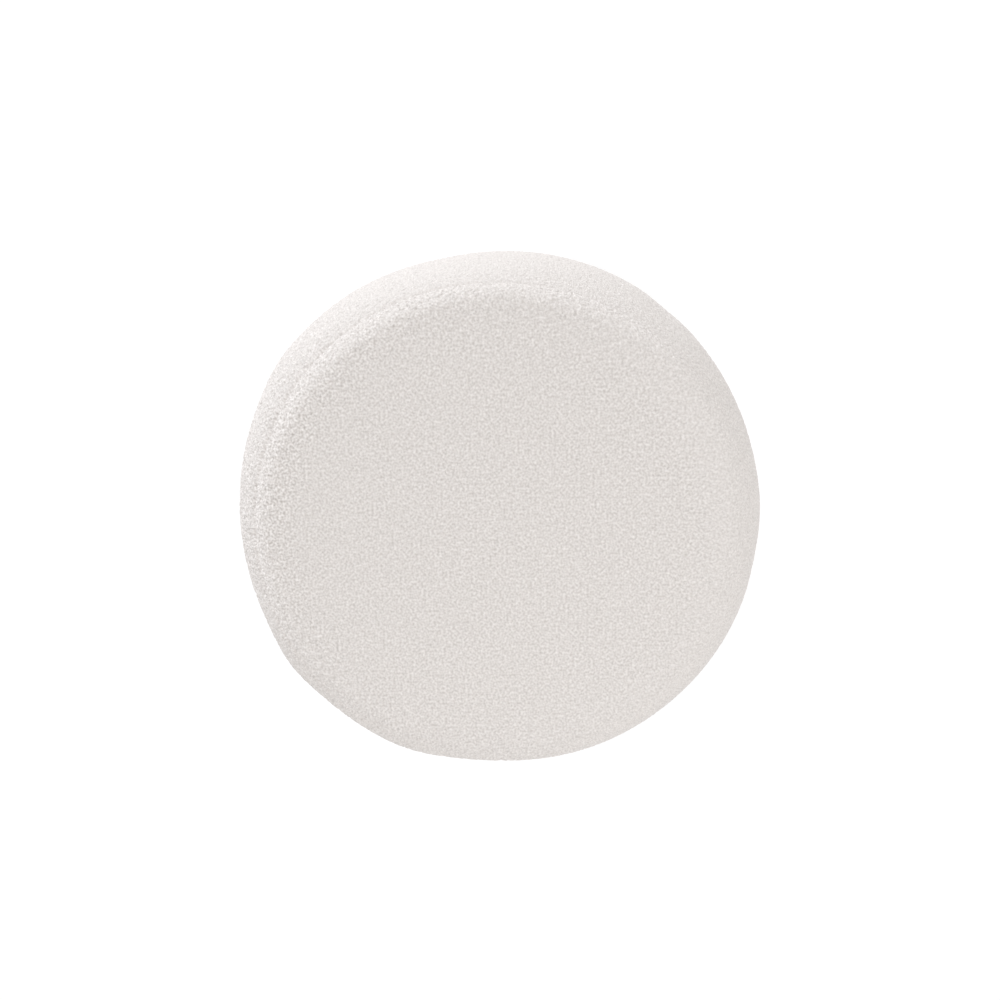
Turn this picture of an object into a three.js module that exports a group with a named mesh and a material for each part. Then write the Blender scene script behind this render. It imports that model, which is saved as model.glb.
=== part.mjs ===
// A round storage ottoman in looped pile cloth: a hollow padded drum with a loose, deeply padded lid.
// Millimetres, +Z up. The origin is on the floor, under the middle of the drum.

import * as THREE from 'three';

// Whole ottoman
const DIAMETER = 400; // across the widest swell of the lid
const HEIGHT = 400; // floor to the crown of the lid
const LID_DEPTH = 98; // crown to the underside of the padding
const SEWN_GAP = 0.3; // between pieces that are sewn to each other or rest on each other
const ROUND_STEPS = 80; // facets round the ottoman

// Top panel of the lid and the seam round it
const CROWN_RISE = 4; // of the top panel's middle over its edge
const FACE_RADIUS = 164; // where the edge begins to roll over
const ROLL_DROP = 11; // from the edge of the face to the seam
const ROLL_TURN = 80; // degrees that the edge turns before the seam
const SEAM_RADIUS = 179;
const SEAM_TUCK = 2; // how deep the stitches draw the cloth in
const SEAM_LIP = 1.5; // height of the soft lip on each side of the stitches

// Side band of the lid
const SWELL_DROP = 62; // from the seam to the widest level
const LID_EDGE_ROLL = 9; // how far the round lower edge draws in

// Drum
const DRUM_RADIUS = 195.5; // at its top and bottom edges
const DRUM_SWELL = 2; // how much its wall swells at half height
const WALL_THICKNESS = 23.5; // board, padding and cloth together
const RIM_ROLL = { radial: 8, upright: 11 }; // round upper edge
const FOOT_ROLL = { radial: 9, upright: 10 }; // round lower edge

// Boards
const BASE_THICKNESS = 12;
const LID_BOARD_THICKNESS = 14;
const LID_BOARD_PLAY = 2; // between the lid's board and the mouth of the drum

// Unevenness of the padding, as slow waves round the ottoman and as single hollows and bulges.
// Angles are degrees from +X, counter-clockwise from above.
const SLOW_WAVES = [
  { count: 1, peak: 75, rise: 1.1 },
  { count: 2, peak: -10, rise: 0.5 },
  { count: 3, peak: 47, rise: 0.4 },
  { count: 4, peak: 53, rise: 1.1 },
];
const DENTS = [
  { at: 36, spread: 8, rise: 1.6 },
  { at: 84, spread: 12, rise: -2 },
  { at: 230, spread: 4, rise: -1.5 },
  { at: 324, spread: 8, rise: 1.8 },
];

// Levels and radii that follow from these
const radius = DIAMETER / 2;
const faceLevel = HEIGHT - CROWN_RISE;
const seamLevel = faceLevel - ROLL_DROP;
const swellLevel = seamLevel - SWELL_DROP;
const lidLevel = HEIGHT - LID_DEPTH;
const rimLevel = lidLevel - SEWN_GAP;
const mouthRadius = DRUM_RADIUS - WALL_THICKNESS;
const swellRise = radius - SEAM_RADIUS;
const shoulderRadius = (swellRise ** 2 + SWELL_DROP ** 2) / (2 * swellRise);

const degrees = THREE.MathUtils.degToRad;
const point = (r, z) => new THREE.Vector2(r, z);

// Points of an elliptical arc in the profile plane, between two angles measured from the radial direction
function arc(centre, radial, upright, from, to, steps) {
  const points = [];
  for (let i = 0; i <= steps; i += 1) {
    const angle = degrees(THREE.MathUtils.lerp(from, to, i / steps));
    points.push(point(centre.x + radial * Math.cos(angle), centre.y + upright * Math.sin(angle)));
  }
  return points;
}

// A solid turned from a profile of radii and levels, which runs upwards along its outside
function turned(profile) {
  return new THREE.LatheGeometry(profile, ROUND_STEPS).rotateX(Math.PI / 2);
}

// How far the padding stands out at an angle round the ottoman
function unevenness(angle) {
  let rise = 0;
  for (const wave of SLOW_WAVES) {
    rise += wave.rise * Math.cos(wave.count * degrees(angle - wave.peak));
  }
  for (const dent of DENTS) {
    const away = THREE.MathUtils.euclideanModulo(angle - dent.at + 180, 360) - 180;
    rise += dent.rise * Math.exp(-0.5 * (away / dent.spread) ** 2);
  }
  return rise;
}

// Moves the padded outside of a turned solid in and out, and leaves what lies inside the mouth round
function padded(geometry) {
  const places = geometry.getAttribute('position');
  for (let i = 0; i < places.count; i += 1) {
    const x = places.getX(i);
    const y = places.getY(i);
    const r = Math.hypot(x, y);
    const share = THREE.MathUtils.smoothstep(r, mouthRadius, SEAM_RADIUS - SEAM_TUCK);
    if (share > 0) {
      const scale = 1 + (share * unevenness(THREE.MathUtils.radToDeg(Math.atan2(y, x)))) / r;
      places.setXY(i, x * scale, y * scale);
    }
  }
  return geometry;
}

// Round top panel: a slight crown, an edge that rolls over, and the tuck at the seam
function topPanel() {
  const underside = seamLevel + SEWN_GAP / 2;
  const lip = underside + SEAM_LIP;
  const turn = degrees(ROLL_TURN);
  const rollUpright = (faceLevel - lip) / (1 - Math.cos(turn));
  const rollRadial = (SEAM_RADIUS - FACE_RADIUS) / Math.sin(turn);
  const rollCentre = point(FACE_RADIUS, faceLevel - rollUpright);
  const crown = [];
  for (const share of [0.85, 0.65, 0.4, 0.15, 0]) {
    crown.push(point(FACE_RADIUS * share, faceLevel + CROWN_RISE * (1 - share ** 2)));
  }
  return padded(turned([
    point(0, underside),
    point(SEAM_RADIUS - SEAM_TUCK, underside),
    ...arc(rollCentre, rollRadial, rollUpright, 90 - ROLL_TURN, 90, 6),
    ...crown,
  ]));
}

// Side band: filled, widest below the seam, with a round lower edge and a flat underside
function sideBand() {
  const upside = seamLevel - SEWN_GAP / 2;
  const edgeCentre = point(radius - LID_EDGE_ROLL, swellLevel);
  const shoulderCentre = point(radius - shoulderRadius, swellLevel);
  const shoulderTop = THREE.MathUtils.radToDeg(Math.asin((SWELL_DROP - SEAM_LIP) / shoulderRadius));
  return padded(turned([
    point(0, lidLevel),
    ...arc(edgeCentre, LID_EDGE_ROLL, swellLevel - lidLevel, -90, -15, 5),
    ...arc(shoulderCentre, shoulderRadius, shoulderRadius, 0, shoulderTop, 7),
    point(SEAM_RADIUS - SEAM_TUCK, upside),
    point(0, upside),
  ]));
}

// Board under the lid, which sits in the mouth of the drum
function lidBoard() {
  const top = lidLevel - SEWN_GAP;
  return turned([
    point(0, top - LID_BOARD_THICKNESS),
    point(mouthRadius - LID_BOARD_PLAY, top - LID_BOARD_THICKNESS),
    point(mouthRadius - LID_BOARD_PLAY, top),
    point(0, top),
  ]);
}

// Wall of the drum: one closed ring with a swelling outside, round edges and a straight inside
function drumWall() {
  const footCentre = point(DRUM_RADIUS - FOOT_ROLL.radial, FOOT_ROLL.upright);
  const rimCentre = point(DRUM_RADIUS - RIM_ROLL.radial, rimLevel - RIM_ROLL.upright);
  const side = [];
  for (const share of [0.15, 0.35, 0.5, 0.65, 0.85]) {
    const level = THREE.MathUtils.lerp(footCentre.y, rimCentre.y, share);
    side.push(point(DRUM_RADIUS + DRUM_SWELL * (1 - (2 * share - 1) ** 2), level));
  }
  return padded(turned([
    point(mouthRadius, 0),
    ...arc(footCentre, FOOT_ROLL.radial, FOOT_ROLL.upright, -90, 0, 5),
    ...side,
    ...arc(rimCentre, RIM_ROLL.radial, RIM_ROLL.upright, 0, 90, 5),
    point(mouthRadius, rimLevel),
    point(mouthRadius, 0),
  ]));
}

// Board that closes the drum below, flush with its lower edge
function drumBase() {
  return turned([
    point(0, 0),
    point(mouthRadius - SEWN_GAP, 0),
    point(mouthRadius - SEWN_GAP, BASE_THICKNESS),
    point(0, BASE_THICKNESS),
  ]);
}

const loopedCloth = new THREE.MeshStandardMaterial({ color: 0xdfdad6, roughness: 0.95, metalness: 0 });
const plainBoard = new THREE.MeshStandardMaterial({ color: 0xb9a98f, roughness: 0.8, metalness: 0 });

function piece(name, geometry, material) {
  const mesh = new THREE.Mesh(geometry, material);
  mesh.name = name;
  return mesh;
}

const lid = new THREE.Group();
lid.add(
  piece('lid_top_panel', topPanel(), loopedCloth),
  piece('lid_side_band', sideBand(), loopedCloth),
  piece('lid_board', lidBoard(), plainBoard),
);

const drum = new THREE.Group();
drum.add(
  piece('body_wall', drumWall(), loopedCloth),
  piece('body_base', drumBase(), plainBoard),
);

const ottoman = new THREE.Group();
ottoman.add(lid, drum);

export default ottoman;
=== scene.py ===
"""The looks of a round storage ottoman in cream looped pile cloth, over its solids. Metres, +Z up."""
import math

import bpy
import numpy as np
from mathutils import Matrix, Vector
from mathutils.bvhtree import BVHTree
from mathutils.geometry import barycentric_transform


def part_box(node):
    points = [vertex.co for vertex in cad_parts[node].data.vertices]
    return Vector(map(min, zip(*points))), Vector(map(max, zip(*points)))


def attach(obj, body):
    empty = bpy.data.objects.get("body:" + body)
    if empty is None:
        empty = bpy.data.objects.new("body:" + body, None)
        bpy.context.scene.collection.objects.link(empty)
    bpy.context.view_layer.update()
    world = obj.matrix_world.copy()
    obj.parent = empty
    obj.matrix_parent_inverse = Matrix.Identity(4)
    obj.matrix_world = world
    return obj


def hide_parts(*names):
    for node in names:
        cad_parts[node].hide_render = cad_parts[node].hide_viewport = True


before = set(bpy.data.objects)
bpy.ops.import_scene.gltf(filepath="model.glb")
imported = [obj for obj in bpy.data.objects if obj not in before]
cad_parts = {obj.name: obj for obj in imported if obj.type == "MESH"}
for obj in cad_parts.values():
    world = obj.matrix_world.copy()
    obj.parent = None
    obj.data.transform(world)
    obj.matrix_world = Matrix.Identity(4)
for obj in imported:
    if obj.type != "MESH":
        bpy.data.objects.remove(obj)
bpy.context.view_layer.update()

MM = 0.001

# Levels of the ottoman, from its solids. The panel and the band all but meet at the seam.
panel_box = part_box("lid_top_panel")
band_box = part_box("lid_side_band")
wall_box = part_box("body_wall")
SEAM_GAP = 0.05 * MM
CROWN_LEVEL = panel_box[1].z
SEAM_LEVEL = (panel_box[0].z + band_box[1].z) / 2
PANEL_SEAM_LEVEL = SEAM_LEVEL + SEAM_GAP
BAND_SEAM_LEVEL = SEAM_LEVEL - SEAM_GAP
LID_UNDER_LEVEL = band_box[0].z
RIM_LEVEL = wall_box[1].z
FLOOR_LEVEL = wall_box[0].z

# Skin of the lid
LID_RADIUS = 200 * MM
CROWN_RISE = 1.2 * MM
FACE_RADIUS = 163 * MM
ROLL_TURN = math.radians(80)
SEAM_RADIUS = 178 * MM
SEAM_TUCK = 1.6 * MM
SWELL_DROP = 62 * MM
LID_EDGE_ROLL = 9 * MM

# Skin of the drum. A roll is given by its size across and upright.
DRUM_RADIUS = 195.5 * MM
DRUM_SWELL = 2 * MM
MOUTH_RADIUS = 172 * MM
RIM_ROLL = (8 * MM, 11 * MM)
FOOT_ROLL = (9 * MM, 10 * MM)

# Unevenness of the padding round the ottoman: slow waves (count, peak in degrees, rise), and single bulges
# and hollows outside the seam (place in degrees, spread in degrees, rise), of which the drum shows a share
SLOW_WAVES = ((1, 78, 1.25 * MM), (2, -37, 0.8 * MM), (3, 60, 0.45 * MM), (4, -39, 0.75 * MM))
DENTS = ((35, 5.5, 2.3 * MM), (67, 7, 1.6 * MM), (86, 8, -2.5 * MM), (114, 8, 0.6 * MM),
         (170, 5, -0.6 * MM), (183, 5, 0.6 * MM), (231, 3, -0.9 * MM), (244, 15, 1.4 * MM),
         (283, 10, -1.7 * MM), (324, 5.5, 1.5 * MM))
DRUM_DENTS = 0.4

# Fuller side of the top panel, with its place and spread in degrees. There the panel's rolled edge and the
# seam stand further out, and the band with them down to a drop below the seam.
FULL_PLACE = 205
FULL_SPREAD = 22
FULL_RISE = 3.5 * MM
FULL_REACH = 30 * MM
FULL_DROP = 0.7 * SWELL_DROP

# Meshes of the cloth. Their rows are closer beside the seam.
ARC_POINTS = 40
SIDE_POINTS = 60
PANEL_RINGS = 150
BAND_AROUND = 1000
BAND_STEP = 1.35 * MM
SEAM_ZONE = 12 * MM
SEAM_ROWS = 20
WALL_AROUND = 600
WALL_STEP = 2.2 * MM

# Seam round the top panel: how deep and how wide its stitches draw the cloth in, the share of that which is
# left between two stitches, and waves round the lid that make them uneven
STITCH_PITCH = 4.5 * MM
STITCH_DEPTH = 1.0 * MM
STITCH_WIDTH = 1.2 * MM
STITCH_BETWEEN = 0.5
STITCH_UNEVEN = 0.1
STITCH_WAVES = (9, 23)
STITCH_START = 2
SEWN_WIDTH = 1 * MM
LIP_WIDTH = 4 * MM

# Thread of the seam: tight round one side, and slack on the other, where the pile closes over it
TIGHT_AZIMUTH = math.radians(30)
MEAN_TENSION = 0.58
MORE_TENSION = 0.62
LEAST_TENSION = 0.12

# Gathers beside the seam. They crowd together in places, and their rise changes in waves round the lid.
GATHERS = 67
GATHER_RISE = 0.25 * MM
GATHER_REACH = 9 * MM
GATHER_CROWDS = 5
GATHER_CROWDING = 2
GATHER_WAVES = 11
GATHER_START = 1
GATHER_CHANGE = 0.4

# Closing seam of the band and of the drum's wall, at the back
CLOSING_AZIMUTH = math.radians(90)
CLOSING_WIDTH = 1.3 * MM
CLOSING_DEPTH = 0.5 * MM

# Eased cut edges of the boards
BOARD_EDGE = 1 * MM
BOARD_EDGE_STEPS = 3
BOARD_EDGE_TURN = math.radians(60)

# Looped pile: single loops, their curls, how they lean together, and the tufts in which they stand. The foot
# of a tuft lies a share of its depth below the cloth. Tufts are flatter on the face, which is sat on, and
# lower where the cloth rests on something.
LOOP_PITCH = 1.65 * MM
CURL_SIZE = 0.9 * MM
CLUMP_SIZE = 1.7 * MM
TUFT_PITCH = 3.2 * MM
TUFT_DEPTH = 1.3 * MM
TUFT_FOOT = 0.6
SAT_FLATTER = 0.45
REST_LOWER = 0.4
REST_ZONE = 3 * MM

# Loops and tufts as cells, in shares of their pitch: how finely and how far they are stirred, and where their
# round tops begin and end
STIR_SIZE = 0.7
STIR_REACH = 0.9
CELL_TOP = 0.1
CELL_EDGE = 0.75

# How far the loops stand open on the lid's edge, where 1 is as on its face: the least, and more of it round
# some places (azimuth, spread, rise). The band and the panel's rolled edge have one more place each. The
# looks of the face pass into those of the edge over a width.
# That share also scales the painted shade between the loops in the cloth's colour, so that shade is deeper in
# some places round the edge and shallower in others
FACE_FADE = 28 * MM
RUFFLED_LEAST = 0.72
RUFFLED_PLACES = ((math.radians(350), math.radians(42), 0.9), (math.radians(80), math.radians(38), 0.3))
BAND_PLACE = (math.radians(280), math.radians(45), -0.2)
ROLL_PLACE = (math.radians(297), math.radians(45), 0.33)

# Colours of the cloth, from the painted shade deep between the loops to their tips, and what shades it from
# one to the other
CLOTH_SHADED_DEEP = (0.581, 0.537, 0.504, 1)
CLOTH_TIPS = (0.982, 0.939, 0.912, 1)
CLOTH_SHADE = 0.566
LOOP_SHADE = 0.12
CURL_SHADE = 0.05
CLUMP_SHADE = 0.74
MEAN_GRAIN_AND_SHADE = 0.445
# Darker at the seams, where plain is 1: partly pressed pile showing its backing, partly painted shade in the
# seam's groove
SEAM_SHADE = 0.15
# Painted shade on the face, standing in for the shade its flatter tufts no longer cast
FACE_PAINTED_SHADE = 0.05

# Fine relief of the cloth
LOOP_RELIEF = 0.7
CURL_RELIEF = 0.3
CLOTH_RELIEF = 0.8 * MM
CLOTH_RELIEF_STRENGTH = 0.7

# Pressed board: fine fibres on broad clouds
BOARD_DARK = (0.40, 0.32, 0.23, 1)
BOARD_PALE = (0.56, 0.47, 0.36, 1)
FIBRE_SIZE = 1.5 * MM
FIBRE_SHARE = 0.6
CLOUD_SIZE = 40 * MM
CLOUD_SHARE = 0.4
BOARD_SHADES = (0.3, 0.7)
BOARD_RELIEF = 0.2 * MM
BOARD_RELIEF_STRENGTH = 0.4

# Padding of the lid, run as a cloth skin under pressure that is cut a little larger than the foam. It is held
# at the seam and on its underside. Of what departs from an even swell a share is kept, under a cap.
PAD_VOXEL = 5 * MM
PAD_PRESSURE = 4
PAD_EASE = -0.01
PAD_FRAMES = 20
PAD_SMOOTHING = 120
PAD_CAP = 0.5 * MM
PAD_SHARE = 0.4
SEAM_HOLD = 7 * MM
SEAM_HOLD_CORE = 0.3 * SEAM_HOLD
UNDERSIDE_FACING = (0.5, 0.9)

# Studio: a pale floor, white surroundings, and soft boxes (name, azimuth, elevation, distance, light, colour)
FLOOR_GLOW = 0.47
FLOOR_TONE = (0.6, 0.6, 0.6, 1)
FLOOR_SIZE = 80.0
WHITE = (1, 1, 1, 1)
SKY_LIGHT = 0.845
SOFT_BOXES = (("key", math.radians(308), math.radians(5), 4.0, 0.455, (0.90, 0.94, 1.0)),
              ("fill", math.radians(120), math.radians(55), 1.2, 0.172, (1.0, 1.0, 1.0)),
              ("side", math.radians(240), math.radians(10), 3.0, 0.05, (1.0, 1.0, 1.0)))
BOX_SHARE = 0.5

# Camera, about the middle of the seam
CAMERA_DISTANCE = 0.8
CAMERA_LEAN = math.radians(13.49)
CAMERA_ASIDE = math.radians(-0.50)
CAMERA_ROLL = math.radians(-0.46)
CAMERA_AIM = (-1.1 * MM, -21.8 * MM)
SENSOR_WIDTH = 36
FOCAL_PIXELS = 1103
IMAGE_PIXELS = 1000

WHOLE_TURN = 2 * math.pi
QUARTER_TURN = math.pi / 2


class Wire:
    """An output socket. Arithmetic on wires adds Math nodes, or Vector Math nodes where one is a vector."""

    def __init__(self, tree, socket=None):
        self.tree = tree
        self.socket = socket

    def node(self, kind, settings=None, values=None, out=0):
        """Any other node: its settings are set first, then the values or links of its sockets."""
        made = self.tree.nodes.new(kind)
        for name, value in (settings or {}).items():
            setattr(made, name, value)
        for key, value in (values or {}).items():
            if isinstance(value, Wire):
                self.tree.links.new(value.socket, made.inputs[key])
            else:
                made.inputs[key].default_value = value
        return Wire(self.tree, made.outputs[out]) if made.outputs else made

    def is_vector(self):
        """Whether the socket gives a vector or a colour."""
        return self.socket.type in ("VECTOR", "RGBA")

    def maths(self, operation, *terms):
        """A Math or Vector Math node on wires and numbers."""
        if any(isinstance(term, Wire) and term.is_vector() for term in terms):
            terms = [term if isinstance(term, Wire) else (term,) * 3 for term in terms]
            return self.node("ShaderNodeVectorMath", {"operation": operation}, dict(enumerate(terms)))
        return self.node("ShaderNodeMath", {"operation": operation}, dict(enumerate(terms)))

    def __add__(self, other):
        return self.maths("ADD", self, other)

    def __radd__(self, other):
        return self.maths("ADD", other, self)

    def __sub__(self, other):
        return self.maths("SUBTRACT", self, other)

    def __rsub__(self, other):
        return self.maths("SUBTRACT", other, self)

    def __mul__(self, other):
        return self.maths("MULTIPLY", self, other)

    def __rmul__(self, other):
        return self.maths("MULTIPLY", other, self)

    def between(self, low, high):
        """0 below low, 1 above high, and smooth in between."""
        settings = {"interpolation_type": "SMOOTHSTEP"}
        return self.node("ShaderNodeMapRange", settings, {"Value": self, "From Min": low, "From Max": high})

    def mix(self, low, high):
        """The colour low where this is 0 and high where it is 1."""
        values = {"Factor": self, "A": low, "B": high}
        return self.node("ShaderNodeMix", {"data_type": "RGBA"}, values, "Result")


def noise(place, size, detail, dimensions="2D", out=0):
    """Soft random spots of about a size."""
    values = {"Vector": place, "Scale": 1 / size, "Detail": detail}
    return place.node("ShaderNodeTexNoise", {"noise_dimensions": dimensions}, values, out)


def rounded_cells(flat, pitch):
    """Round cells that lie close together at random: 1 in the middle of each, 0 between them."""
    stir = noise(flat, STIR_SIZE * pitch, 1.0, out="Color") - 0.5
    cells = {"Vector": flat + stir * (STIR_REACH * pitch), "Scale": 1 / pitch, "Randomness": 1.0}
    near = flat.node("ShaderNodeTexVoronoi", {"voronoi_dimensions": "2D", "feature": "F1"}, cells)
    return 1 - near.between(CELL_TOP, CELL_EDGE)


def blank_material(name):
    """A material without nodes, and the wire that adds them."""
    material = bpy.data.materials.new(name)
    material.use_nodes = True
    material.node_tree.nodes.clear()
    return material, Wire(material.node_tree)


def finish_surface(start, values):
    """Ends a material's nodes in one surface."""
    surface = start.node("ShaderNodeBsdfPrincipled", None, values)
    start.node("ShaderNodeOutputMaterial", None, {"Surface": surface})


def looped_cloth():
    """Cream looped pile with fine curls: pale tips, and warmer, darker painted shade between the loops and
    clumps, over a tone that varies at random.
    """
    material, start = blank_material("looped_cloth")
    flat = start.node("ShaderNodeAttribute", {"attribute_name": "flat"}, None, "Vector")
    plain = start.node("ShaderNodeAttribute", {"attribute_name": "plain"}, None, "Fac")
    ruffle_and_shade_depth = start.node("ShaderNodeAttribute", {"attribute_name": "ruffle_and_shade_depth"}, None, "Fac")
    sat_on_and_face_shade = start.node("ShaderNodeAttribute", {"attribute_name": "sat_on_and_face_shade"}, None, "Fac")
    loops = rounded_cells(flat, LOOP_PITCH)
    curls = noise(flat, CURL_SIZE, 2.0)
    clumps = noise(flat, CLUMP_SIZE, 0.0)
    # Grain: painted shade between the loops and clumps, over a tone of the cloth that varies at random
    grain_and_shade = loops * LOOP_SHADE + curls * CURL_SHADE + clumps * CLUMP_SHADE - MEAN_GRAIN_AND_SHADE
    # Painted shade: the grain's shade scaled round the edge, then darkening at the seams and painted shade on
    # the face
    shade = grain_and_shade * ruffle_and_shade_depth - SEAM_SHADE * plain - FACE_PAINTED_SHADE * sat_on_and_face_shade + CLOTH_SHADE
    relief = {"Height": loops * LOOP_RELIEF + curls * CURL_RELIEF, "Distance": CLOTH_RELIEF,
              "Strength": CLOTH_RELIEF_STRENGTH}
    bump = start.node("ShaderNodeBump", None, relief)
    finish_surface(start, {"Base Color": shade.mix(CLOTH_SHADED_DEEP, CLOTH_TIPS), "Roughness": 0.95, "Normal": bump,
                           "Sheen Weight": 0.1, "Sheen Roughness": 0.6, "Specular IOR Level": 0.15})
    return material


def fibreboard():
    """Plain pressed board: pale brown with fine darker fibres."""
    material, start = blank_material("fibreboard")
    place = start.node("ShaderNodeTexCoord", None, None, "Object")
    fibres = noise(place, FIBRE_SIZE, 4.0, "3D")
    clouds = noise(place, CLOUD_SIZE, 2.0, "3D")
    shade = fibres * FIBRE_SHARE + clouds * CLOUD_SHARE
    colour = shade.between(*BOARD_SHADES).mix(BOARD_DARK, BOARD_PALE)
    relief = {"Height": fibres, "Distance": BOARD_RELIEF, "Strength": BOARD_RELIEF_STRENGTH}
    bump = start.node("ShaderNodeBump", None, relief)
    finish_surface(start, {"Base Color": colour, "Roughness": 0.8, "Normal": bump})
    return material


def pale_floor():
    """A floor so pale that it shows white."""
    material, start = blank_material("pale_floor")
    finish_surface(start, {"Base Color": FLOOR_TONE, "Roughness": 0.9, "Specular IOR Level": 0.0,
                           "Emission Color": WHITE, "Emission Strength": FLOOR_GLOW})
    return material


def smooth(value, low, high):
    """0 below low, 1 above high, and smooth in between."""
    share = np.clip((value - low) / (high - low), 0, 1)
    return share * share * (3 - 2 * share)


def azimuth_of(points):
    """Angles of points round the upright axis."""
    return np.arctan2(points[:, 1], points[:, 0])


def radius_of(points):
    """Distances of points from the upright axis, at least 1 mm."""
    return np.maximum(np.hypot(points[:, 0], points[:, 1]), MM)


def angle_from(angle, place, whole=WHOLE_TURN):
    """The way round from a place to an angle, at most half a turn."""
    return (angle - place + whole / 2) % whole - whole / 2


def beside(way, width):
    """1 at a seam or a place, and less on both sides of it over a width."""
    return np.exp(-((way / width) ** 2))


def bulge(away, spread):
    """1 at the middle of a bulge, and less on both sides of it."""
    return np.exp(-0.5 * (away / spread) ** 2)


def sunk(points, depth):
    """The points again, moved towards the upright axis by a depth each."""
    moved = points.copy()
    moved[:, :2] *= (1 - depth / radius_of(points))[:, None]
    return moved


def edge_share(points):
    """0 on the face of the lid, 1 on its edge and outside that."""
    return smooth(radius_of(points), FACE_RADIUS - FACE_FADE, FACE_RADIUS)


def uneven(points, dented=1.0):
    """The points again, with the padded outside moved in and out. Dented is the share of the single dents."""
    angle = np.degrees(azimuth_of(points))
    radius = radius_of(points)
    padded = smooth(radius, MOUTH_RADIUS, SEAM_RADIUS)
    outside = smooth(radius, SEAM_RADIUS, DRUM_RADIUS)
    rise = 0 * radius
    for count, peak, height in SLOW_WAVES:
        rise += height * np.cos(np.radians(count * (angle - peak))) * padded
    for place, spread, height in DENTS:
        rise += dented * height * bulge(angle_from(angle, place, 360), spread) * outside
    full = smooth(radius, FACE_RADIUS - FULL_REACH, FACE_RADIUS)
    full = full * smooth(points[:, 2], SEAM_LEVEL - FULL_DROP, SEAM_LEVEL)
    rise += FULL_RISE * bulge(angle_from(angle, FULL_PLACE, 360), FULL_SPREAD) * full
    return sunk(points, -rise)


def arc(centre, radial, upright, start, end):
    """Points of an elliptical arc in the profile plane; angles in radians from the radial direction."""
    angle = np.linspace(start, end, ARC_POINTS)
    return np.stack([centre[0] + radial * np.cos(angle), centre[1] + upright * np.sin(angle)], axis=1)


def run_of(profile):
    """The way along a profile to each of its points."""
    return np.concatenate([[0], np.cumsum(np.linalg.norm(np.diff(profile, axis=0), axis=1))])


def resampled(profile, places):
    """The profile again, as points at the given places along it."""
    run = run_of(profile)
    return np.stack([np.interp(places, run, profile[:, axis]) for axis in (0, 1)], axis=1)


def panel_profile():
    """Skin of the top panel, from its middle over the rolled edge to the seam."""
    face = CROWN_LEVEL - CROWN_RISE
    upright = (face - PANEL_SEAM_LEVEL) / (1 - math.cos(ROLL_TURN))
    radial = (SEAM_RADIUS - SEAM_TUCK - FACE_RADIUS) / math.sin(ROLL_TURN)
    share = np.linspace(0, 1, ARC_POINTS, endpoint=False)
    crown = np.stack([FACE_RADIUS * share, face + CROWN_RISE * (1 - share**2)], axis=1)
    roll = arc((FACE_RADIUS, face - upright), radial, upright, QUARTER_TURN, QUARTER_TURN - ROLL_TURN)
    profile = np.vstack([crown, roll])
    length = run_of(profile)[-1]
    face_places = np.linspace(0, length - SEAM_ZONE, PANEL_RINGS - SEAM_ROWS, endpoint=False)
    seam_places = np.linspace(length - SEAM_ZONE, length, SEAM_ROWS + 1)
    return resampled(profile, np.concatenate([face_places, seam_places]))


def band_profile():
    """Skin of the side band, from the seam over its swell and round the lower edge to the lid's board."""
    rise = LID_RADIUS - SEAM_RADIUS
    swell = BAND_SEAM_LEVEL - SWELL_DROP
    bend = (rise**2 + SWELL_DROP**2) / (2 * rise)
    shoulder = arc((LID_RADIUS - bend, swell), bend, bend, math.asin(SWELL_DROP / bend), 0)
    edge_middle = (LID_RADIUS - LID_EDGE_ROLL, swell)
    edge = arc(edge_middle, LID_EDGE_ROLL, swell - LID_UNDER_LEVEL, 0, -QUARTER_TURN)
    profile = np.vstack([shoulder, edge[1:], [[MOUTH_RADIUS, LID_UNDER_LEVEL]]])
    length = run_of(profile)[-1]
    seam_places = np.linspace(0, SEAM_ZONE, SEAM_ROWS, endpoint=False)
    other_places = np.linspace(SEAM_ZONE, length, round((length - SEAM_ZONE) / BAND_STEP))
    return resampled(profile, np.concatenate([seam_places, other_places]))


def wall_profile():
    """Skin of the drum's outside, from the mouth over the rim, down to the floor and back to the mouth."""
    rim = (DRUM_RADIUS - RIM_ROLL[0], RIM_LEVEL - RIM_ROLL[1])
    foot = (DRUM_RADIUS - FOOT_ROLL[0], FLOOR_LEVEL + FOOT_ROLL[1])
    share = np.linspace(0, 1, SIDE_POINTS)[1:-1]
    swell = DRUM_RADIUS + DRUM_SWELL * (1 - (2 * share - 1) ** 2)
    side = np.stack([swell, rim[1] + (foot[1] - rim[1]) * share], axis=1)
    profile = np.vstack([[[MOUTH_RADIUS, RIM_LEVEL]], arc(rim, *RIM_ROLL, QUARTER_TURN, 0), side,
                         arc(foot, *FOOT_ROLL, 0, -QUARTER_TURN), [[MOUTH_RADIUS, FLOOR_LEVEL]]])
    length = run_of(profile)[-1]
    return resampled(profile, np.linspace(0, length, round(length / WALL_STEP)))


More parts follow.
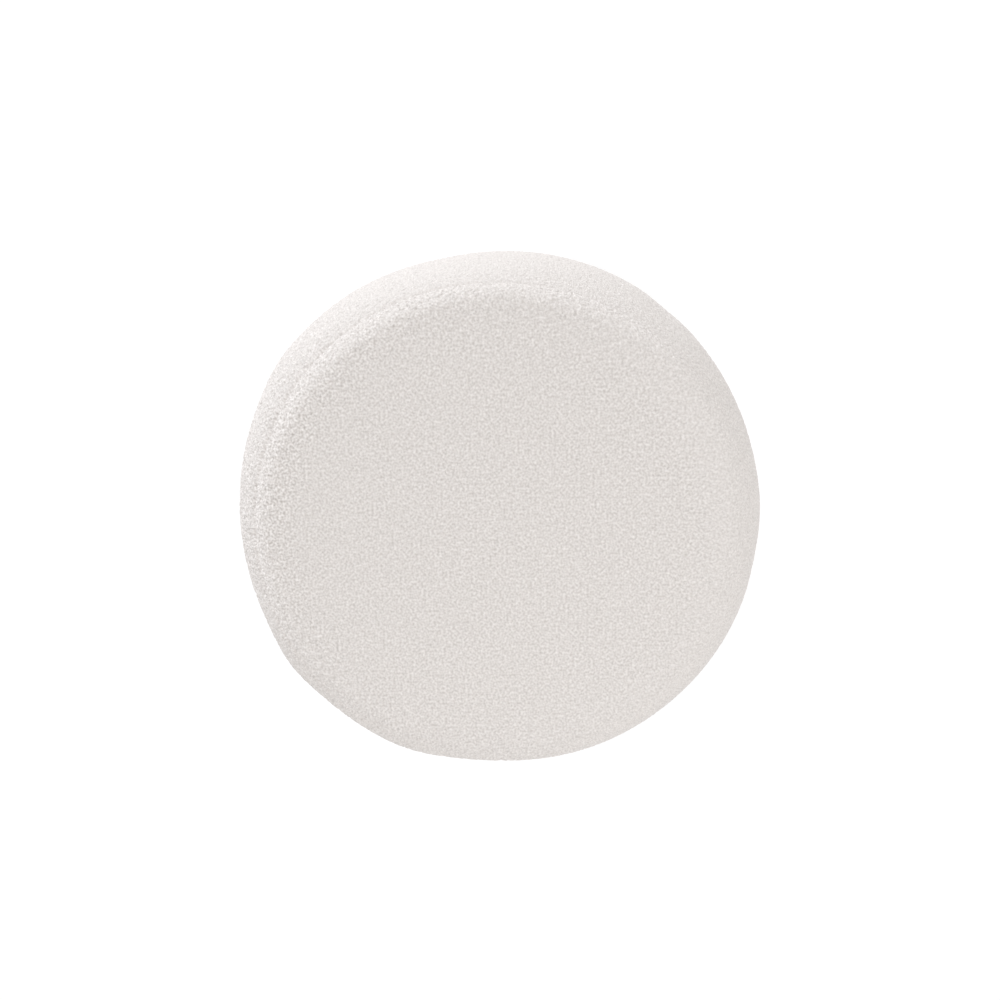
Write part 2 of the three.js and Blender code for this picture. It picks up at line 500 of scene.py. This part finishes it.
def disc_mesh(profile):
    """A disc whose rings follow the profile, each with 8 points more than the last: points, faces and places
    in the flat pattern. Its last face closes it underneath."""
    rings = len(profile) - 1
    steps = np.arange(-rings, rings + 1)
    across, along = np.meshgrid(steps, steps, indexing="ij")
    ring = np.maximum(abs(across), abs(along))
    share = np.where(abs(across) >= abs(along), along, across) / np.maximum(ring, 1) * (math.pi / 4)
    sides = [across >= abs(along), -across >= abs(along), along > 0, along < 0]
    turn = np.select(sides, [share, math.pi - share, QUARTER_TURN - share, share - QUARTER_TURN])
    way = np.stack([np.cos(turn), np.sin(turn), 0 * turn], axis=-1)
    points = way * profile[ring, :1] + profile[ring, 1:] * np.array([0, 0, 1])
    flat = way * run_of(profile)[ring][..., None]
    number = np.arange(ring.size).reshape(ring.shape)
    quads = np.stack([number[:-1, :-1], number[1:, :-1], number[1:, 1:], number[:-1, 1:]], axis=-1)
    leaning = (steps[:-1, None] + 0.5) * (steps[None, :-1] + 0.5) < 0
    quads[leaning] = np.roll(quads[leaning], 1, axis=1)
    rim = np.concatenate([number[:-1, 0], number[-1, :-1], number[:0:-1, -1], number[0, :0:-1]])
    faces = quads.reshape(-1, 4).tolist() + [rim[::-1].tolist()]
    return points.reshape(-1, 3), faces, flat.reshape(-1, 3)


def ring_mesh(profile, around):
    """A profile turned round the upright axis, from the closing seam and back to it: points, faces and places
    in the flat pattern."""
    columns = np.arange(around + 1)
    turn = columns * (WHOLE_TURN / around)
    angle = CLOSING_AZIMUTH + turn
    radius, level = profile[:, :1], profile[:, 1:]
    points = np.stack([radius * np.cos(angle), radius * np.sin(angle), level + 0 * angle], axis=-1)
    flat = np.stack(np.broadcast_arrays(turn * LID_RADIUS, run_of(profile)[:, None], 0.0), axis=-1)
    row, column = np.meshgrid(np.arange(len(profile) - 1), columns[:-1], indexing="ij")
    here = row * (around + 1) + column
    below = here + around + 1
    quads = np.stack([here, below, below + 1, here + 1], axis=-1).reshape(-1, 4)
    return points.reshape(-1, 3), quads.tolist(), flat.reshape(-1, 3)


def tension(points):
    """How tight the seam's thread is at the place round the lid."""
    tight = MEAN_TENSION + MORE_TENSION * np.cos(azimuth_of(points) - TIGHT_AZIMUTH)
    return np.maximum(tight, LEAST_TENSION)


def stitched(points, from_seam):
    """How hard the seam's thread presses the cloth: most at each stitch, and 0 away from the seam."""
    angle = azimuth_of(points)
    stitches = round(WHOLE_TURN * SEAM_RADIUS / STITCH_PITCH)
    thread = (1 + STITCH_BETWEEN) / 2 + (1 - STITCH_BETWEEN) / 2 * np.cos(stitches * angle)
    slow, quick = STITCH_WAVES
    thread = thread + STITCH_UNEVEN * np.sin(slow * angle + STITCH_START) * np.sin(quick * angle)
    return tension(points) * thread * beside(from_seam, STITCH_WIDTH)


def seam_pull(points, from_seam):
    """How far the stitches and the gathers beside them draw the cloth in, from its way to the seam."""
    angle = azimuth_of(points)
    gather = np.sin(GATHERS * angle + GATHER_CROWDING * np.sin(GATHER_CROWDS * angle))
    gather = gather * (1 - GATHER_CHANGE + GATHER_CHANGE * np.sin(GATHER_WAVES * angle + GATHER_START))
    gathered = GATHER_RISE * tension(points) * gather * np.exp(-from_seam / GATHER_REACH)
    return STITCH_DEPTH * stitched(points, from_seam) + gathered


def closing(flat):
    """1 at the closing seam of a ring of cloth, 0 away from it."""
    length = WHOLE_TURN * LID_RADIUS
    from_seam = np.minimum(flat[:, 0], length - flat[:, 0])
    return beside(from_seam, CLOSING_WIDTH)


def ruffle(points, own_place):
    """How far the loops stand open on the lid, and how deep the painted shade between them goes, with one
    more place of the piece's own.
    """
    angle = azimuth_of(points)
    edge = RUFFLED_LEAST + 0 * angle
    for place, spread, more in (*RUFFLED_PLACES, own_place):
        edge += more * beside(angle_from(angle, place), spread)
    return 1 + (edge - 1) * edge_share(points)


def apply_modifier(target, modifier):
    """Puts what a modifier does into the mesh."""
    bpy.context.view_layer.objects.active = target
    bpy.ops.object.modifier_apply(modifier=modifier.name)


def coordinates(mesh):
    """Places of a mesh's points."""
    found = np.empty(len(mesh.vertices) * 3)
    mesh.vertices.foreach_get("co", found)
    return found.reshape(-1, 3)


def piece(name, points, faces, body, nodes, materials):
    """A mesh object that rides on a body of the frame and stands for its solids."""
    mesh = bpy.data.meshes.new(name)
    mesh.from_pydata(points.tolist(), [], faces)
    made = bpy.data.objects.new(name, mesh)
    bpy.context.scene.collection.objects.link(made)
    for material in materials:
        mesh.materials.append(material)
    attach(made, body)
    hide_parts(*nodes)
    return made


def named(start, name, kind="FLOAT"):
    """What a mesh holds for each of its points under a name."""
    return start.node("GeometryNodeInputNamedAttribute", {"data_type": kind}, {"Name": name})


def raise_loops(cloth, flat, plain, sewn, pressed, ruffle_and_shade_depth):
    """Raises the pile on a cloth's points, from their places in the flat pattern. Plain is 1 where it has no
    pile, and there it darkens the colour with pressed pile and painted shade; sewn is 1 at its sewn edges,
    pressed is 1 where it rests on something, and ruffle_and_shade_depth is how far its loops stand open and
    how deep their painted shade goes."""
    sat_on_and_face_shade = 1 - edge_share(coordinates(cloth.data))
    cloth.data.attributes.new("flat", "FLOAT_VECTOR", "POINT").data.foreach_set("vector", flat.ravel())
    given = {"plain": plain, "held": np.maximum(plain, sewn), "pressed": pressed, "ruffle_and_shade_depth": ruffle_and_shade_depth,
             "sat_on_and_face_shade": sat_on_and_face_shade}
    for name, values in given.items():
        cloth.data.attributes.new(name, "FLOAT", "POINT").data.foreach_set("value", values)
    tree = bpy.data.node_groups.new(cloth.name + "_pile", "GeometryNodeTree")
    for way in ("INPUT", "OUTPUT"):
        tree.interface.new_socket("Geometry", in_out=way, socket_type="NodeSocketGeometry")
    start = Wire(tree)
    backing = start.node("NodeGroupInput")
    normal = start.node("GeometryNodeInputNormal")
    tufts = rounded_cells(named(start, "flat", "FLOAT_VECTOR"), TUFT_PITCH) - TUFT_FOOT
    opened = start.maths("MINIMUM", named(start, "ruffle_and_shade_depth"), 1.0)
    tufts = tufts * (opened * (1 - named(start, "sat_on_and_face_shade") * SAT_FLATTER))
    rise = (tufts - REST_LOWER * named(start, "pressed")) * (1 - named(start, "held")) * TUFT_DEPTH
    raised = start.node("GeometryNodeSetPosition", None, {"Geometry": backing, "Offset": normal * rise})
    start.node("NodeGroupOutput", None, {0: raised})
    pile = cloth.modifiers.new("pile", "NODES")
    pile.node_group = tree
    apply_modifier(cloth, pile)
    cloth.data.polygons.foreach_set("use_smooth", np.ones(len(cloth.data.polygons), bool))


def pad_skin():
    """One closed skin round the lid's padding, from its two solids."""
    shells = []
    for name in ("lid_top_panel", "lid_side_band"):
        shell = bpy.data.objects.new(name + "_shell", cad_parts[name].data.copy())
        bpy.context.scene.collection.objects.link(shell)
        shells.append(shell)
    with bpy.context.temp_override(active_object=shells[0], selected_editable_objects=shells):
        bpy.ops.object.join()
    pad = shells[0]
    one_skin = pad.modifiers.new("one_skin", "REMESH")
    one_skin.mode = "VOXEL"
    one_skin.voxel_size = PAD_VOXEL
    apply_modifier(pad, one_skin)
    return pad


def pressed_out(pad, hold):
    """Where the points of a skin come to under pressure, with a hold on each of them."""
    held = pad.vertex_groups.new(name="held")
    for index, weight in enumerate(hold):
        held.add([index], float(weight), "REPLACE")
    padding = pad.modifiers.new("padding", "CLOTH")
    padding.settings.use_pressure = True
    padding.settings.uniform_pressure_force = PAD_PRESSURE
    padding.settings.shrink_min = PAD_EASE
    padding.settings.effector_weights.gravity = 0
    padding.settings.vertex_group_mass = "held"
    padding.collision_settings.use_collision = False
    padding.point_cache.frame_end = PAD_FRAMES
    for number in range(1, PAD_FRAMES + 1):
        bpy.context.scene.frame_set(number)
    shown = pad.evaluated_get(bpy.context.evaluated_depsgraph_get())
    return coordinates(shown.data)


def without_even_swell(swell, points):
    """A swell less its mean on each ring of points at about the same radius and level."""
    cells = np.round(np.stack([radius_of(points), points[:, 2]], axis=1) / PAD_VOXEL).astype(int)
    ring = np.unique(cells, axis=0, return_inverse=True)[1].ravel()
    even = np.bincount(ring, swell) / np.bincount(ring)
    return swell - even[ring]


def smoothed(swell, mesh):
    """A swell evened out along the edges of a mesh."""
    edges = np.array([edge.vertices[:] for edge in mesh.edges])
    ends = np.concatenate([edges, edges[:, ::-1]])
    joined = np.bincount(ends[:, 0])
    for _ in range(PAD_SMOOTHING):
        swell = (swell + np.bincount(ends[:, 0], swell[ends[:, 1]]) / joined) / 2
    return swell


def swollen_pad():
    """Runs the lid's padding under its cover. Returns its skin before and after, and the triangles."""
    pad = pad_skin()
    rest = coordinates(pad.data)
    normals = np.array([vertex.normal for vertex in pad.data.vertices])
    from_seam = np.hypot(radius_of(rest) - SEAM_RADIUS, rest[:, 2] - SEAM_LEVEL)
    at_seam = 1 - smooth(from_seam, SEAM_HOLD_CORE, SEAM_HOLD)
    hold = np.maximum(at_seam, smooth(-normals[:, 2], *UNDERSIDE_FACING))
    swell = ((pressed_out(pad, hold) - rest) * normals).sum(axis=1)
    swell = smoothed(without_even_swell(swell, rest), pad.data)
    swell = PAD_SHARE * PAD_CAP * np.tanh(swell / PAD_CAP)
    grown = rest + normals * swell[:, None]
    pad.data.calc_loop_triangles()
    triangles = [tuple(triangle.vertices) for triangle in pad.data.loop_triangles]
    bpy.context.scene.frame_set(1)
    bpy.data.objects.remove(pad)
    return rest, grown, triangles


def carried(points, pad):
    """The points again, moved as the padding under them moved, where it was run."""
    if not pad:
        return points
    rest, grown, triangles = pad
    before = [Vector(point) for point in rest]
    after = [Vector(point) for point in grown]
    skin = BVHTree.FromPolygons(before, triangles)
    moved = points.copy()
    for index, point in enumerate(points):
        found, _, face, _ = skin.find_nearest(point)
        corners = triangles[face]
        shifted = barycentric_transform(found, *(before[i] for i in corners), *(after[i] for i in corners))
        moved[index] += np.array(shifted - found)
    return moved


def top_panel(cloth, pad):
    """The round top panel, with its crown and rolled edge."""
    profile = panel_profile()
    points, faces, flat = disc_mesh(profile)
    points = carried(uneven(points), pad)
    from_seam = run_of(profile)[-1] - np.hypot(flat[:, 0], flat[:, 1])
    lip = (tension(points) - 1) * SEAM_TUCK * beside(from_seam, LIP_WIDTH)
    points = sunk(points, lip + seam_pull(points, from_seam))
    made = piece("looped_top_panel", points, faces, "lid", ["lid_top_panel"], [cloth])
    plain = np.minimum(stitched(points, from_seam), 1)
    raise_loops(made, flat, plain, beside(from_seam, SEWN_WIDTH), 0 * plain, ruffle(points, ROLL_PLACE))


def side_band(cloth, pad):
    """The band sewn round the top panel, closed above and below by its last two faces."""
    points, faces, flat = ring_mesh(band_profile(), BAND_AROUND)
    last_row = len(points) - BAND_AROUND - 1
    faces += [list(range(BAND_AROUND)), list(range(len(points) - 2, last_row - 1, -1))]
    points = carried(uneven(points), pad)
    from_seam = flat[:, 1]
    drawn = closing(flat)
    under = 1 - smooth(points[:, 2], LID_UNDER_LEVEL, LID_UNDER_LEVEL + REST_ZONE)
    tuck = tension(points) * SEAM_TUCK * beside(from_seam, STITCH_WIDTH)
    points = sunk(points, tuck + seam_pull(points, from_seam) + drawn * CLOSING_DEPTH * (1 - under))
    made = piece("looped_side_band", points, faces, "lid", ["lid_side_band"], [cloth])
    plain = np.clip(stitched(points, from_seam), drawn, 1)
    raise_loops(made, flat, plain, beside(from_seam, SEWN_WIDTH), under, ruffle(points, BAND_PLACE))


def drum_wall(cloth, board):
    """The wall of the drum: cloth outside, and plain board inside."""
    profile = wall_profile()
    inside = np.array([[MOUTH_RADIUS, (FLOOR_LEVEL + RIM_LEVEL) / 2], [MOUTH_RADIUS, RIM_LEVEL]])
    points, faces, flat = ring_mesh(np.vstack([profile, inside]), WALL_AROUND)
    points = uneven(points, DRUM_DENTS)
    cloth_rows = len(profile) - 1
    lining = np.arange(len(points)) >= cloth_rows * (WALL_AROUND + 1)
    drawn = closing(flat)
    on_floor = 1 - smooth(points[:, 2], FLOOR_LEVEL, FLOOR_LEVEL + REST_ZONE)
    resting = np.maximum(on_floor, smooth(points[:, 2], RIM_LEVEL - REST_ZONE, RIM_LEVEL))
    points = sunk(points, drawn * CLOSING_DEPTH * (1 - resting) * ~lining)
    made = piece("looped_drum_wall", points, faces, "drum", ["body_wall"], [cloth, board])
    slots = np.zeros(len(faces), np.int32)
    slots[cloth_rows * WALL_AROUND:] = 1
    made.data.polygons.foreach_set("material_index", slots)
    plain = np.maximum(drawn, lining)
    raise_loops(made, flat, plain, 0 * plain, resting, 1 + 0 * plain)


def eased_board(node, board):
    """Finishes a board that shows as its solid, with slightly eased edges."""
    node.data.materials.clear()
    node.data.materials.append(board)
    eased = node.modifiers.new("eased_edges", "BEVEL")
    eased.width = BOARD_EDGE
    eased.segments = BOARD_EDGE_STEPS
    eased.limit_method = "ANGLE"
    eased.angle_limit = BOARD_EDGE_TURN


def aim(target, place, look, up, roll=0.0):
    """Puts an object at place, looking along its -Z at look, with up towards the top and a roll."""
    forward = (look - place).normalized()
    right = forward.cross(up).normalized()
    top = right.cross(forward)
    rolled_right = right * math.cos(roll) + top * math.sin(roll)
    rolled_top = top * math.cos(roll) - right * math.sin(roll)
    axes = Matrix((rolled_right, rolled_top, -forward)).transposed()
    target.matrix_world = Matrix.Translation(place) @ axes.to_4x4()


def soft_box(middle, name, azimuth, elevation, distance, light, colour):
    """A square light that faces the lid. Light is what a white card facing it would show."""
    lamp = bpy.data.lights.new(name, "AREA")
    lamp.energy = light * (math.pi * distance) ** 2
    lamp.size = BOX_SHARE * distance
    lamp.color = colour
    box = bpy.data.objects.new(name, lamp)
    bpy.context.scene.collection.objects.link(box)
    level = math.cos(elevation)
    way = Vector((math.cos(azimuth) * level, math.sin(azimuth) * level, math.sin(elevation)))
    aim(box, middle + way * distance, middle, Vector((0, 0, 1)))


def surroundings():
    """Plain white all round."""
    world = bpy.data.worlds.new("studio")
    world.use_nodes = True
    sky = world.node_tree.nodes["Background"]
    sky.inputs["Color"].default_value = WHITE
    sky.inputs["Strength"].default_value = SKY_LIGHT
    return world


def camera_over(middle):
    """The camera, which looks down on the lid and has +Y towards the bottom of its picture."""
    eye = bpy.data.cameras.new("camera")
    eye.sensor_width = SENSOR_WIDTH
    eye.lens = SENSOR_WIDTH * FOCAL_PIXELS / IMAGE_PIXELS
    camera = bpy.data.objects.new("camera", eye)
    bpy.context.scene.collection.objects.link(camera)
    height = math.cos(CAMERA_LEAN)
    way = Vector((math.sin(CAMERA_ASIDE) * height, -math.sin(CAMERA_LEAN), math.cos(CAMERA_ASIDE) * height))
    look = middle + Vector((*CAMERA_AIM, 0))
    aim(camera, middle + way * CAMERA_DISTANCE, look, Vector((0, -1, 0)), CAMERA_ROLL)
    return camera


def studio():
    """The floor, the light and the camera."""
    scene = bpy.context.scene
    scene.view_settings.view_transform = "Standard"
    scene.world = surroundings()
    bpy.ops.mesh.primitive_plane_add(size=FLOOR_SIZE, location=(0, 0, FLOOR_LEVEL))
    floor = bpy.context.object
    floor.name = "floor"
    floor.data.materials.append(pale_floor())
    middle = Vector((0, 0, SEAM_LEVEL))
    for box in SOFT_BOXES:
        soft_box(middle, *box)
    scene.camera = camera_over(middle)


cloth = looped_cloth()
board = fibreboard()
pad = swollen_pad()
top_panel(cloth, pad)
side_band(cloth, pad)
drum_wall(cloth, board)
for name in ("lid_board", "body_base"):
    eased_board(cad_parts[name], board)
studio()

bpy.context.view_layer.update()
